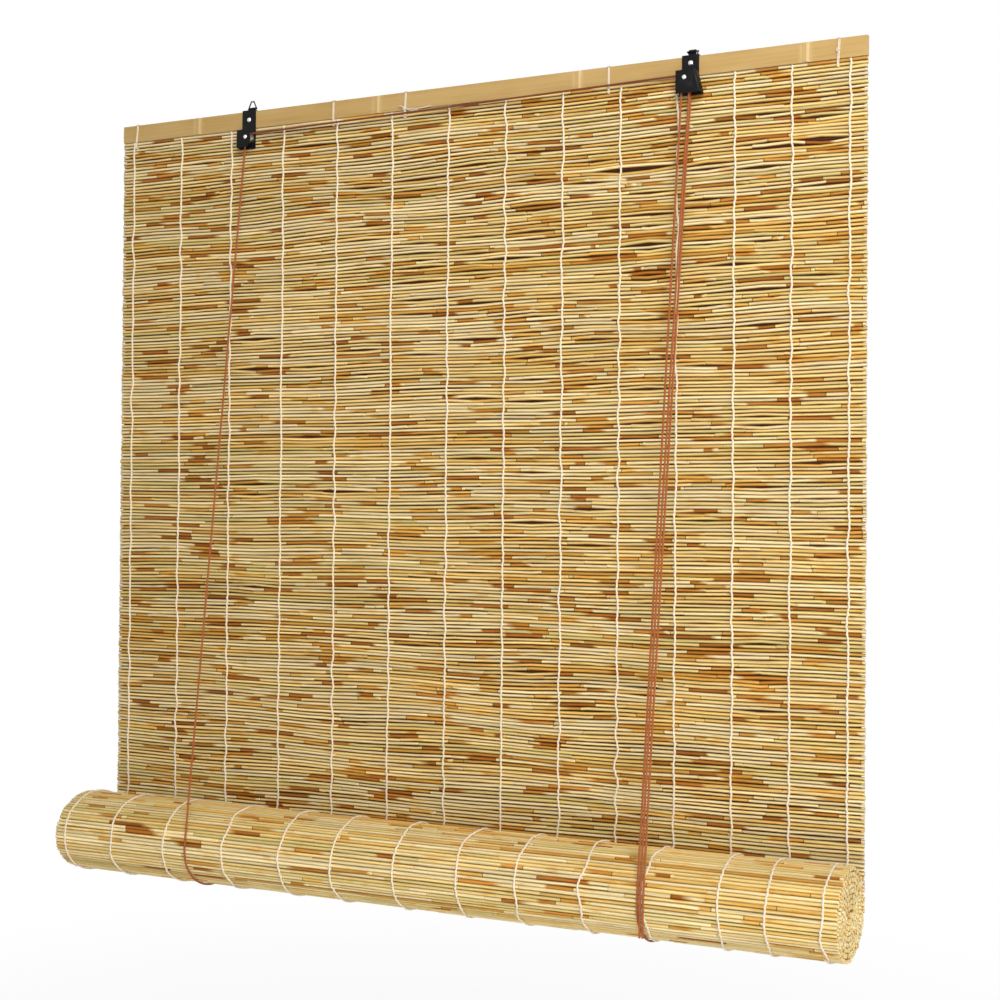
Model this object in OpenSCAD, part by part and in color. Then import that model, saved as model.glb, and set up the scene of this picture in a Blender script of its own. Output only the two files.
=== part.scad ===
// Reed roll-up blind, hung by two rings and part rolled up in its two cord slings.
// X runs along the batten, Y back to the wall, Z up. The origin is the middle of the batten's top front edge.

/* [Blind] */
// Width of the blind
blind_w = 1000; // [700:10:1600]
// Drop from the batten's top edge to the middle of the roll
hang_drop = 928; // [600:1:1600]

/* [Head batten] */
// Height of the bamboo batten
batten_h = 22; // [18:0.5:30]
// Thickness of the bamboo batten
batten_t = 6; // [5:0.5:9]
// How far the batten's front is crowned
batten_crown = 0.6; // [0.2:0.1:1.2]
// Distance between the bamboo's node ridges
node_pitch = 270; // [180:5:320]
// How far a node ridge stands proud
node_rise = 0.7; // [0.3:0.1:1.2]

/* [Reed mat] */
// Diameter of a reed
reed_d = 4.5; // [4:0.1:6]
// How far neighbouring reeds bed into each other
reed_bed = 0.25; // [0.1:0.05:0.5]
// Number of open gaps between reeds
gap_count = 84; // [0:1:84]
// Length of an open gap
gap_len = 46; // [20:1:48]
// Height of an open gap
gap_h = 1.1; // [0.6:0.1:1.4]

/* [Roll] */
// Depth of the roll, front to back
roll_depth = 124; // [100:1:150]
// Height of the roll, which its slings flatten
roll_height = 98; // [84:1:130]
// Distance from one turn of the roll to the next
turn_pitch = 5.6; // [5.2:0.1:8]

/* [Warp threads] */
// Number of warp threads
warp_count = 14; // [8:1:14]
// Width of a warp thread
warp_w = 2.2; // [1:0.1:2.6]
// Thickness of a warp thread
warp_t = 1.2; // [0.8:0.1:1.6]
// Distance of the outer warps from the mat's sides
warp_inset = 18.5; // [12:0.5:40]
// How far the middle warps lie off an even spacing
warp_bow = 33; // [0:1:40]
// Sideways creep of the mat in the roll
roll_creep = 14; // [0:1:16]

/* [Batten ties] */
// Thickness of the twine that ties the mat to the batten
tie_d = 1.4; // [1:0.1:2]

/* [Brackets] */
// Distance between the two hanging brackets
bracket_span = 594; // [400:2:760]
// Thickness of the bracket steel
steel_t = 1.2; // [0.8:0.1:1.6]
// Width of the strap on the batten
strap_w = 20; // [16:0.5:26]
// Width of the neck and curl that hold the ring
neck_w = 8.4; // [7:0.2:11]
// Height of the left ring's pivot over the batten
pivot_rise = 4.6; // [4.2:0.1:6]
// Height of the right ring's pivot over the batten
lock_pivot_rise = 7.4; // [4.2:0.1:9]
// Drop from the batten's top to the left strap's rivet
left_rivet_drop = 11; // [7:0.5:13]
// Drop from the batten's top to the cord lock's rivet
lock_rivet_drop = 7.5; // [7:0.5:13]
// Depth of the pulley space between the cheeks
cheek_gap = 10.8; // [10:0.1:14]
// Height of the left pulley housing
left_house_h = 22.5; // [20:0.5:30]
// How far the left pulley stands to the right of its strap
left_shift = 2.5; // [0:0.1:3]
// Drop from the batten's top to the left pulley
left_axle_drop = 35.5; // [34:0.5:40]
// Height of the cord lock's housing
lock_house_h = 26; // [24:0.5:32]
// Drop from the batten's top to the cord lock's pulley
lock_axle_drop = 26; // [25:0.5:32]
// How far the cord lock's strap stands to the right of its pulley
lock_shift = 3.5; // [0:0.1:5]
// Lean of the cord lock's side web
lock_flare = 15; // [0:1:16]

/* [Rings] */
// Wire diameter of a hanging ring
wire_d = 1.6; // [1.2:0.1:2]
// Height of a hanging ring
ring_h = 9.6; // [9:0.1:12]
// How far a hanging ring's corners stand out from the curl that it swings in
ring_side = 2.2; // [2.2:0.1:3.2]
// Width of a hanging ring at its top
ring_top_w = 4; // [3:0.1:6]
// How far the right ring has dropped back
ring_flop = 140; // [0:5:140]

/* [Pulleys] */
// Outer diameter of a pulley
pulley_d = 12.4; // [12:0.1:14]
// Diameter of the cord's path round a pulley
cord_path_d = 9; // [8.6:0.1:9.4]
// Diameter of a pulley axle
axle_d = 3; // [2.4:0.1:3.4]
// Diameter of a strap rivet
rivet_d = 3.2; // [2.6:0.1:4]

/* [Cord lock] */
// Diameter of the lock cam's pin
cam_pin_d = 2.4; // [2:0.1:3]
// Reach of the cam from its pin to its teeth
cam_reach = 5; // [4:0.1:5.2]
// Number of teeth on the cam
cam_teeth = 5; // [3:1:6]

/* [Cords] */
// Diameter of the lift cords
cord_d = 2.6; // [1.8:0.1:3]
// Diameter of the knots that hold the cords' upper ends
knot_d = 5.2; // [4:0.1:7]

/* [Hidden] */
$fn = 48;
// Clearances: a running fit, a loose seat and a gap between soft pieces
fit = 0.05;
seat = 0.2;
soft_gap = 0.35;
tiny = 0.15;

straw = "#d8b869";
bamboo = "#c8a261";
twine = "#f0e8d6";
cord_brown = "#a5562a";
black_steel = "#1b1a1a";
bright_steel = "#c9cacc";

// One node ridge lies at node_x, and the others follow at the pitch as far as the batten reaches
node_x = -108;
node_swell = 9;
node_first = ceil((node_swell - blind_w / 2 - node_x) / node_pitch);
node_last = floor((blind_w / 2 - node_swell - node_x) / node_pitch);

// The flat mat
reed_r = reed_d / 2;
reed_y = batten_t / 2;
reed_pitch = reed_d - reed_bed;
first_reed_z = -batten_h - tiny - reed_r;

// The roll: a flattened spiral that starts under the flat mat and winds inwards
lip_angle = 8;
core_half = 3.4;
spiral_a = (roll_depth - reed_d) / 2 + turn_pitch / 4;
spiral_b = (roll_height - reed_d) / 2 + turn_pitch * (360 + 2 * lip_angle) / 720;
roll_y = reed_y - spiral_a;
roll_z = -hang_drop;
roll_end = 360 * (spiral_b - core_half) / turn_pitch;

function unit(v) = v / norm(v);
function roll_pt(t) = [
    roll_y + (spiral_a - turn_pitch * t / 360) * cos(t - lip_angle),
    roll_z - (spiral_b - turn_pitch * t / 360) * sin(t - lip_angle)];
function roll_run(t) = roll_pt(t + 0.5) - roll_pt(t - 0.5);
function roll_out(t, r) = let (d = unit(roll_run(t))) roll_pt(t) + r * [-d[1], d[0]];
function half_step(t) = reed_pitch / norm(roll_run(t)) / 2;
function next_reed(t) = t + reed_pitch / norm(roll_run(t + half_step(t)));
roll_reeds = [for (t = 0; t < roll_end; t = next_reed(t)) t];

// The flat mat ends just over the outer end of the spiral
last_reed_z = roll_pt(0)[1] + reed_d + soft_gap;
reed_count = ceil((first_reed_z - last_reed_z) / reed_pitch);
row_pitch = (first_reed_z - last_reed_z) / reed_count;
function row_z(i) = first_reed_z - row_pitch * i;
function neck_z(i) = row_z(i + 0.5);

// Warps and ties pass through the mat at these necks
warp_top_neck = 0;
warp_low_neck = reed_count - 1;
tie_neck = 1;
front_crest = reed_y - reed_r;
back_crest = reed_y + reed_r;

// A warp that would pass behind a bracket's housing stands beside it instead
function beside(x, low, high) = x <= low || x >= high ? x : x - low < high - x ? low : high;
function past_left(x) = beside(x, left_x - web_side - warp_gap, left_x + open_side + warp_gap);
function past_lock(x) = beside(x, right_x - open_side - warp_gap, right_x + lock_side + warp_gap);
function warp_x(i) = let (s = i / (warp_count - 1))
    past_left(past_lock((blind_w - 2 * warp_inset) * (s - 0.5) + warp_bow * sin(180 * pow(s, 1.3))));

// Each tie's bay between two warps, as a share of all the bays, and its place across that bay
tie_place = [[0, 0.05], [0.25, 0.92], [0.4, 0.22], [0.65, 0.79], [0.95, 0.79]];
function tie_x(i) = let (bay = floor(tie_place[i][0] * (warp_count - 1)))
    warp_x(bay) + tie_place[i][1] * (warp_x(bay + 1) - warp_x(bay));

// Gaps: each takes a neck and a bay between two warps
gap_rows = rands(8, reed_count - 8, max(gap_count, 1), 11);
gap_bays = rands(0, warp_count - 1.01, max(gap_count, 1), 23);

// Brackets: a strap down the front of the batten, a bridge over it and a plate behind
left_x = -bracket_span / 2;
right_x = bracket_span / 2;
left_axle_x = left_x + left_shift;
lock_strap_x = right_x + lock_shift;
strap_back = -seat;
strap_front = strap_back - steel_t;
cheek_back = strap_front - cheek_gap;
cheek_front = cheek_back - steel_t;
plate_front = batten_t + seat;
plate_back = plate_front + steel_t;
bridge_z = seat;
pivot_y = plate_front + steel_t / 2;
curl_bore = wire_d / 2 + fit;
curl_r = curl_bore + steel_t;
rivet_tail = 0.8;
plate_w = strap_w - 6;
plate_drop = 18;
strap_tail = 5;
open_side = 10;
web_side = 11.5;
lock_web_side = 13;
lock_side = lock_web_side + lock_house_h * tan(lock_flare);
warp_gap = warp_w / 2 + soft_gap;
bend_r = 2.4;

// Pulleys sit midway between the cheeks, and the lock's has two grooves
path_r = cord_path_d / 2;
cord_r = cord_d / 2;
cord_y = (strap_front + cheek_back) / 2;
groove_pitch = 4.4;
groove_r = cord_r + soft_gap;
pulley_len = cheek_gap - 0.6;
lift_y = cord_y - groove_pitch / 2;
head_y = cord_y + groove_pitch / 2;
left_axle_z = -left_axle_drop;
lock_axle_z = -lock_axle_drop;
left_house_low = 13;
lock_house_low = 18;
left_house_z = left_axle_z - left_house_low;
lock_house_z = lock_axle_z - lock_house_low;

// The cam's pin stands beside the pull cords and a little below the pulley
cam_x = path_r + cord_r + soft_gap + cam_reach;
cam_z = lock_axle_z - 9;
cam_aim = 200;
cam_len = cheek_gap - 0.8;

// Where the cords lie on the roll
left_drift = -1;
right_drift = -9;
left_sling_x = left_x + left_drift;
right_sling_x = right_x + right_drift;
sling_r = reed_r + soft_gap + cord_r;
sling_back = lip_angle;
knot_reach = 0.56 * knot_d;
knot_y = plate_back + rivet_tail + tiny + knot_reach;
knot_z = -14;
right_knot_x = lock_strap_x - plate_w / 3;

// Routes of the two pull cords, from the cord lock down over the front of the roll
pull_left_route = [
    [301.5, -4.6, -44.2], [301.5, -4.8, -52], [301.3, -6.2, -66], [301, -10, -90], [300.7, -14, -120],
    [300.2, -20.5, -170], [299.8, -27, -220], [299.2, -36.5, -290], [298.6, -46, -360], [298, -55.5, -430],
    [297.4, -65, -500], [296.8, -74.5, -570], [296.3, -83.5, -640], [295.8, -92.5, -710],
    [295.4, -101, -775], [295.1, -108, -830], [294.9, -113.5, -875], [294.8, -117.4, -905],
    [294.8, -119.6, -920], [294.8, -120.3, -932], [294.8, -120.4, -945], [294.8, -120.4, -964]];
pull_right_route = [
    [301.5, -9, -44.2], [301.5, -9.2, -52], [301.2, -10.5, -66], [300.6, -14, -90], [299.9, -18, -120],
    [299, -24.5, -170], [298.2, -30.5, -220], [297.2, -39.5, -290], [296.2, -48.5, -360], [295.3, -57.5, -430],
    [294.4, -66.5, -500], [293.6, -75.5, -570], [292.9, -84.5, -640], [292.3, -93, -710],
    [291.9, -101.5, -775], [291.6, -108.3, -830], [291.4, -113.6, -875], [291.3, -117.5, -905],
    [291.3, -119.7, -920], [291.3, -120.4, -932], [291.3, -120.5, -945], [291.3, -120.5, -964]];

WARPS = [for (i = [1 : warp_count]) str(i < 10 ? "0" : "", i)];

// Shared shapes
// An outline in Y and Z, extruded along X about the middle
module along_x(length) rotate([90, 0, 90]) linear_extrude(length, center = true) children();

// An outline in X and Z, extruded along Y from y0 to y1
module along_y(y0, y1) translate([0, y1, 0]) rotate([90, 0, 0]) linear_extrude(y1 - y0) children();

// A plain pin along Y
module pin(d, y0, y1) along_y(y0, y1) circle(d = d);

// A domed rivet head that stands on the plane y, towards the front
module dome_head(d, h, y) {
    r = (d * d / 4 + h * h) / (2 * h);
    intersection() {
        translate([0, y + r - h, 0]) sphere(r = r);
        translate([-d, y - 2 * h, -d]) cube([2 * d, 2 * h, 2 * d]);
    }
}

// A rectangle with round corners, about the middle
module round_rect(w, h, r) {
    square([w - 2 * r, h], center = true);
    square([w, h - 2 * r], center = true);
    for (x = [-1, 1], y = [-1, 1]) translate([x * (w / 2 - r), y * (h / 2 - r)]) circle(r = r);
}

// A cord of eight sides along the points p, where ref is never along the cord
function cord_run(p, i) = unit(p[min(i + 1, len(p) - 1)] - p[max(i - 1, 0)]);
function cord_ring(p, i, ref, r) = let (t = cord_run(p, i), s = unit(cross(t, ref)), u = cross(s, t))
    [for (k = [0 : 7]) p[i] + r * (cos(45 * k) * s + sin(45 * k) * u)];
module cord(p, ref) {
    n = len(p);
    sides = [for (i = [0 : n - 2], k = [0 : 7]) let (a = 8 * i + k, b = 8 * i + (k + 1) % 8)
        each [[a, b + 8, b], [a, a + 8, b + 8]]];
    ends = [[for (k = [0 : 7]) k], [for (k = [7 : -1 : 0]) 8 * (n - 1) + k]];
    color(cord_brown)
        polyhedron([for (i = [0 : n - 1]) each cord_ring(p, i, ref, cord_r)], concat(sides, ends), convexity = 6);
}

// Mat and batten
module head_batten() {
    crown_r = batten_h * batten_h / (8 * batten_crown);
    color(bamboo) difference() {
        union() {
            along_x(blind_w) intersection() {
                translate([0, -batten_h]) square([batten_t, batten_h]);
                translate([crown_r, -batten_h / 2]) circle(r = crown_r, $fn = 240);
            }
            for (i = [node_first : node_last]) node_ridge(node_x + i * node_pitch);
        }
        translate([left_x, 0, -left_rivet_drop]) pin(rivet_d + 2 * fit, -1, batten_t + 1);
        translate([lock_strap_x, 0, -lock_rivet_drop]) pin(rivet_d + 2 * fit, -1, batten_t + 1);
    }
}

// A bamboo node: a low round swell across the batten's face
module node_ridge(x) {
    margin = 0.5;
    intersection() {
        translate([x, node_swell - node_rise, margin - batten_h])
            cylinder(r = node_swell, h = batten_h - 2 * margin);
        translate([x - node_swell, -node_rise, -batten_h]) cube([2 * node_swell, batten_t, batten_h]);
    }
}

module reed_sheet() {
    color(straw) difference() {
        along_x(blind_w) for (i = [0 : reed_count]) translate([reed_y, row_z(i)]) circle(r = reed_r);
        for (i = [0 : warp_count - 1], n = [warp_top_neck, warp_low_neck]) thread_slot(warp_x(i), n, warp_w, warp_t);
        for (i = [0 : 4]) thread_slot(tie_x(i), tie_neck, tie_d, tie_d);
        for (i = [0 : 1 : gap_count - 1]) open_gap(i);
    }
}

module thread_slot(x, neck, w, h)
    translate([x, reed_y, neck_z(neck)]) cube([w + 2 * seat, 2 * reed_d, h + 2 * seat], center = true);

module open_gap(i) {
    bay = floor(gap_bays[i]);
    x = (warp_x(bay) + warp_x(bay + 1)) / 2;
    translate([x, reed_y, neck_z(floor(gap_rows[i]))]) cube([gap_len, 2 * reed_d, gap_h], center = true);
}

// A warp thread on the flat mat: down the front and up the back, through the mat at both ends
module sheet_warp(i) {
    top = neck_z(warp_top_neck) + warp_t / 2;
    low = neck_z(warp_low_neck) - warp_t / 2;
    color(twine) translate([warp_x(i), 0, 0]) along_x(warp_w) difference() {
        translate([front_crest - tiny - warp_t, low]) square([reed_d + 2 * (tiny + warp_t), top - low]);
        translate([front_crest - tiny, low + warp_t]) square([reed_d + 2 * tiny, top - low - 2 * warp_t]);
    }
}

// A twine loop round the batten and the top two reeds
module batten_tie(i) {
    low = neck_z(tie_neck) - tie_d / 2;
    high = tiny + tie_d;
    depth = batten_t + 2 * (tiny + tie_d);
    color(twine) translate([tie_x(i), 0, 0]) along_x(tie_d) translate([reed_y, (low + high) / 2]) difference() {
        round_rect(depth, high - low, tie_d);
        square([depth - 2 * tie_d, high - low - 2 * tie_d], center = true);
    }
}

// The roll: the reeds of all its turns, side by side along one flattened spiral
module reed_roll()
    color(straw) along_x(blind_w) for (t = roll_reeds) translate(roll_pt(t)) circle(r = reed_r);

// A warp thread round the outer turn of the roll
module roll_warp(i) {
    lift = reed_r + soft_gap;
    turn = [for (t = [14 : 6 : 344]) t];
    last = len(turn) - 1;
    color(twine) translate([warp_x(i) + roll_creep, 0, 0]) along_x(warp_w)
        polygon(concat([for (t = turn) roll_out(t, lift)],
            [for (k = [last : -1 : 0]) roll_out(turn[k], lift + warp_t)]));
}

// Brackets
// Strap, bridge, back plate, neck and curl, which both brackets have
module saddle(rise, rivet_drop) {
    top = bridge_z + steel_t;
    along_y(strap_front, strap_back) difference() {
        translate([-strap_w / 2, -batten_h - strap_tail]) square([strap_w, batten_h + strap_tail + top]);
        translate([0, -rivet_drop]) circle(d = rivet_d + 2 * fit);
    }
    along_y(plate_front, plate_back) difference() {
        union() {
            translate([-plate_w / 2, -plate_drop]) square([plate_w, plate_drop + top]);
            translate([-neck_w / 2, 0]) square([neck_w, rise - curl_bore - steel_t / 2]);
        }
        translate([0, -rivet_drop]) circle(d = rivet_d + 2 * fit);
    }
    translate([-strap_w / 2, strap_front, bridge_z]) cube([strap_w, plate_back - strap_front, steel_t]);
    translate([0, pivot_y, rise]) along_x(neck_w) difference() {
        circle(r = curl_r);
        circle(r = curl_bore);
    }
}

// The points of a bend about [x, y], from the angle a0 to a1
function bend_pts(x, y, r, a0, a1) = [for (k = [0 : 4]) let (a = a0 + (a1 - a0) * k / 4)
    [x + r * cos(a), y + r * sin(a)]];

// A folded channel that is open on one side: two cheeks and a web with round bends, the web on the +X side.
// The web leans outwards towards the bottom by the angle lean, and the back cheek stands a hair before the strap.
module channel(web_x, z0, h, lean) {
    back = strap_back - fit;
    depth = back - cheek_front;
    reach = 3 * strap_w;
    side = depth / 2 - bend_r;
    inner_r = bend_r - steel_t;
    intersection() {
        translate([web_x, (back + cheek_front) / 2, z0 + h]) rotate([0, -lean, 0])
            linear_extrude(4 * h, center = true)
                polygon(concat(
                    [[-reach, -depth / 2]],
                    bend_pts(-bend_r, -side, bend_r, -90, 0), bend_pts(-bend_r, side, bend_r, 0, 90),
                    [[-reach, depth / 2], [-reach, depth / 2 - steel_t]],
                    bend_pts(-bend_r, side, inner_r, 90, 0), bend_pts(-bend_r, -side, inner_r, 0, -90),
                    [[-reach, steel_t - depth / 2]]));
        translate([-open_side, cheek_front - 1, z0]) cube([reach, depth + 2, h]);
    }
}

// What is cut from the front cheek, so that its open edge bows out as an arc
module cheek_bow(z0, h) {
    r = 0.64 * h;
    along_y(cheek_front - 1, cheek_back + steel_t / 4) difference() {
        translate([-open_side - 1, z0 - 1]) square([open_side + 1, h + 2]);
        translate([r - open_side, z0 + h / 2]) circle(r = r);
    }
}

module left_bracket() {
    color(black_steel) translate([left_x, 0, 0]) difference() {
        union() {
            saddle(pivot_rise, left_rivet_drop);
            mirror([1, 0, 0]) difference() {
                channel(web_side, left_house_z, left_house_h, 0);
                cheek_bow(left_house_z, left_house_h);
            }
        }
        translate([left_shift, 0, left_axle_z]) pin(axle_d + 2 * fit, cheek_front - 1, strap_back + 1);
    }
}

module lock_bracket() {
    color(black_steel) translate([right_x, 0, 0]) difference() {
        union() {
            translate([lock_shift, 0, 0]) saddle(lock_pivot_rise, lock_rivet_drop);
            channel(lock_web_side, lock_house_z, lock_house_h, lock_flare);
        }
        translate([0, 0, lock_axle_z]) pin(axle_d + 2 * fit, cheek_front - 1, strap_back + 1);
        translate([cam_x, 0, cam_z]) pin(cam_pin_d + 2 * fit, cheek_front - 1, strap_back + 1);
    }
}

module strap_rivet(x, z) {
    head_d = 6;
    color(bright_steel) translate([x, 0, z]) {
        pin(rivet_d, strap_front, plate_back);
        dome_head(head_d, 1.5, strap_front);
        pin(1.5 * rivet_d, plate_back, plate_back + rivet_tail);
    }
}

module pulley_axle(x, z) {
    head_d = 5.2;
    color(bright_steel) translate([x, 0, z]) {
        pin(axle_d, cheek_front, strap_back);
        dome_head(head_d, 1.3, cheek_front);
    }
}

// A pulley with a round-bottomed groove at each place in ys
module pulley(x, z, ys) {
    color(bright_steel) translate([x, 0, z]) difference() {
        pin(pulley_d, cord_y - pulley_len / 2, cord_y + pulley_len / 2);
        pin(axle_d + 2 * fit, cheek_front, strap_back);
        for (y = ys) translate([0, y, 0]) rotate([90, 0, 0]) rotate_extrude() {
            translate([path_r, 0]) circle(r = groove_r);
            translate([path_r, -groove_r]) square([pulley_d, 2 * groove_r]);
        }
    }
}

// The toothed cam that pinches the pull cords
module lock_cam() {
    hub_r = cam_pin_d / 2 + 1.1;
    tooth_r = 0.45;
    color(black_steel) translate([right_x + cam_x, 0, cam_z])
        along_y(cord_y - cam_len / 2, cord_y + cam_len / 2) rotate(cam_aim) difference() {
            union() {
                circle(r = hub_r);
                intersection() {
                    circle(r = cam_reach);
                    polygon([[0, -hub_r], [cam_reach, -hub_r], [cam_reach, hub_r * 0.6], [0, hub_r]]);
                }
            }
            circle(d = cam_pin_d + 2 * fit);
            for (k = [1 : cam_teeth])
                rotate(-32 + 42 * k / cam_teeth) translate([cam_reach, 0]) circle(r = tooth_r, $fn = 24);
        }
}

module lock_cam_pin()
    color(black_steel) translate([right_x + cam_x, 0, cam_z]) pin(cam_pin_d, cheek_front, strap_back);

// A bent wire ring that swings in the bracket's curl, tipped back by the angle back
module hanging_ring(x, rise, back) {
    half = neck_w / 2 + ring_side;
    corners = [[-half, 0], [half, 0], [ring_top_w / 2, ring_h], [-ring_top_w / 2, ring_h]];
    color(black_steel) translate([x, pivot_y, rise]) rotate([-back, 0, 0])
        for (i = [0 : 3]) wire(corners[i], corners[(i + 1) % 4]);
}

// A straight stretch of ring wire from p to q, with the swollen outside of a tight bend at p
module wire(p, q) {
    d = q - p;
    translate([p[0], 0, p[1]]) {
        sphere(d = 1.1 * wire_d);
        rotate([0, atan2(d[0], d[1]), 0]) cylinder(d = wire_d, h = norm(d));
    }
}

// Cords
// The turn of the outer ridge where a taut cord from the point e, in Y and Z, first meets the roll
function lean(t, e) = let (p = roll_out(t, sling_r)) atan2(e[0] - p[0], e[1] - p[1]);
function meet(e) = let (ts = [for (t = [178 : 1 : 210]) t], ls = [for (t = ts) lean(t, e)])
    ts[search(max(ls), ls)[0]];
function on_roll(x, t) = let (p = roll_out(t, sling_r)) [x, p[0], p[1]];
function arc_pts(x, y, z, a0, a1) = [for (k = [0 : 6]) let (a = a0 + (a1 - a0) * k / 6)
    [x + path_r * cos(a), y, z + path_r * sin(a)]];
function meet_left() = meet([cord_y, left_house_z]);
function meet_right() = meet([lift_y, lock_house_z]);

// The front cords hang straight out of their housings and then slant to the roll
module left_front_cord() {
    top = [left_axle_x - path_r, cord_y, left_axle_z - soft_gap];
    out = [top[0], cord_y, left_house_z];
    low = on_roll(left_sling_x, meet_left());
    cord([top, out, low - tiny * unit(low - out)], [1, 0, 0]);
}

module right_front_cord() {
    out = [right_x - path_r, lift_y, lock_house_z];
    low = on_roll(right_sling_x, meet_right());
    over = arc_pts(right_x, lift_y, lock_axle_z, 180, 0);
    cord(concat([low - tiny * unit(low - out), out], over, [[right_x + path_r, lift_y, lock_house_z]]), [0, 1, 0]);
}

// Along the head, from the left pulley over the lock's pulley and down through the lock
module head_cord() {
    rise = arc_pts(left_axle_x, cord_y, left_axle_z, 180, 90);
    fall = arc_pts(right_x, head_y, lock_axle_z, 90, 0);
    cord(concat(rise, fall, [[right_x + path_r, head_y, lock_house_z]]), [0, 1, 0]);
}

// Under the roll, from its back to its front
module sling(x, front) {
    steps = 20;
    cord([for (k = [0 : steps]) on_roll(x, sling_back + (front - sling_back) * k / steps)], [1, 0, 0]);
}

// Up behind the mat, from the sling to the knot
module back_cord(x, knot_x) {
    low = on_roll(x, sling_back);
    cord([[low[0], low[1], low[2] + tiny], [knot_x, knot_y, knot_z - knot_reach - tiny]], [1, 0, 0]);
}

module knot(x) {
    color(cord_brown) translate([x, knot_y, knot_z]) {
        sphere(d = knot_d);
        rotate([90, 0, 90]) rotate_extrude() translate([0.64 * knot_reach, 0]) circle(r = 0.36 * knot_reach);
    }
}

head_batten();
reed_sheet();
reed_roll();
for (i = [0 : 4]) batten_tie(i);
for (i = [0 : warp_count - 1]) sheet_warp(i);
for (i = [0 : warp_count - 1]) roll_warp(i);
left_bracket();
strap_rivet(left_x, -left_rivet_drop);  // left_rivet
pulley(left_axle_x, left_axle_z, [cord_y]);  // left_pulley
pulley_axle(left_axle_x, left_axle_z);  // left_axle
hanging_ring(left_x, pivot_rise, 0);  // left_ring
lock_bracket();
strap_rivet(lock_strap_x, -lock_rivet_drop);  // lock_rivet
pulley(right_x, lock_axle_z, [lift_y, head_y]);  // lock_pulley
pulley_axle(right_x, lock_axle_z);  // lock_axle
lock_cam();
lock_cam_pin();
hanging_ring(lock_strap_x, lock_pivot_rise, ring_flop);  // right_ring
left_front_cord();
sling(left_sling_x, meet_left());  // left_sling
back_cord(left_sling_x, left_sling_x);  // left_back_cord
knot(left_sling_x);  // left_knot
head_cord();
right_front_cord();
sling(right_sling_x, meet_right());  // right_sling
back_cord(right_sling_x, right_knot_x);  // right_back_cord
knot(right_knot_x);  // right_knot
cord(pull_left_route, [1, 0, 0]);  // left_pull_cord
cord(pull_right_route, [1, 0, 0]);  // right_pull_cord
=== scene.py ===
"""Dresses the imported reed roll-up blind in its reeds, threads, cords and finishes.

X runs along the batten, Y back to the wall and Z up, in metres. The origin is the middle of the
batten's top front edge.
"""

from __future__ import annotations

import logging
import math
import random
from dataclasses import dataclass, field
from enum import Enum
from typing import Callable, Iterable, Sequence

import bpy
import numpy as np
from mathutils import Matrix, Vector

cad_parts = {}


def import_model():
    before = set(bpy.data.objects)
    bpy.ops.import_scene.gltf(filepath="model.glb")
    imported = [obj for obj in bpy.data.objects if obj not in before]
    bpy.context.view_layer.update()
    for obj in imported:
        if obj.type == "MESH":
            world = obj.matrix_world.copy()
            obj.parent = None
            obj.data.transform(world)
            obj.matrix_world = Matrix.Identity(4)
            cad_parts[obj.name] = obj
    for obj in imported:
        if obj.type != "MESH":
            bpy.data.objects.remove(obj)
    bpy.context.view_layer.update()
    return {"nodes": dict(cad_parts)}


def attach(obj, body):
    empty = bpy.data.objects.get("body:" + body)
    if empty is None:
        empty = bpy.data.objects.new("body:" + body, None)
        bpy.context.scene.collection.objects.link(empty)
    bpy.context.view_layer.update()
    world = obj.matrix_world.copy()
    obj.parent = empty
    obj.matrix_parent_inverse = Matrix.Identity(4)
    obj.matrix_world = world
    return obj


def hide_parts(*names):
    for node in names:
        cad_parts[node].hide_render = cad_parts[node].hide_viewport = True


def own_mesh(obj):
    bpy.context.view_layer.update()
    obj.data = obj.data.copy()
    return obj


LOG = logging.getLogger("reed_blind")

Colour = tuple[float, float, float]
Point = tuple[float, float, float]
# A span is the least and the greatest, and a peaked one also the most likely
Span = tuple[float, float]
Peaked = tuple[float, float, float]
Socket = bpy.types.NodeSocket
Piece = bpy.types.Object

FULL_TURN = 2 * math.pi
PHASES: Span = (0, 6.28)
WHITE = (1, 1, 1, 1)


class Body(Enum):
    """The moving bodies that the new pieces ride on."""

    HEAD = "head"
    ROLL = "roll"
    SLINGS = "slings"


class Slot(Enum):
    """The record's finishes."""

    REED = "reed"
    BAMBOO = "bamboo"
    TWINE = "twine"
    CORD = "cord"
    BLACK_STEEL = "black_steel"
    BRIGHT_STEEL = "bright_steel"


# Materials


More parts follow.
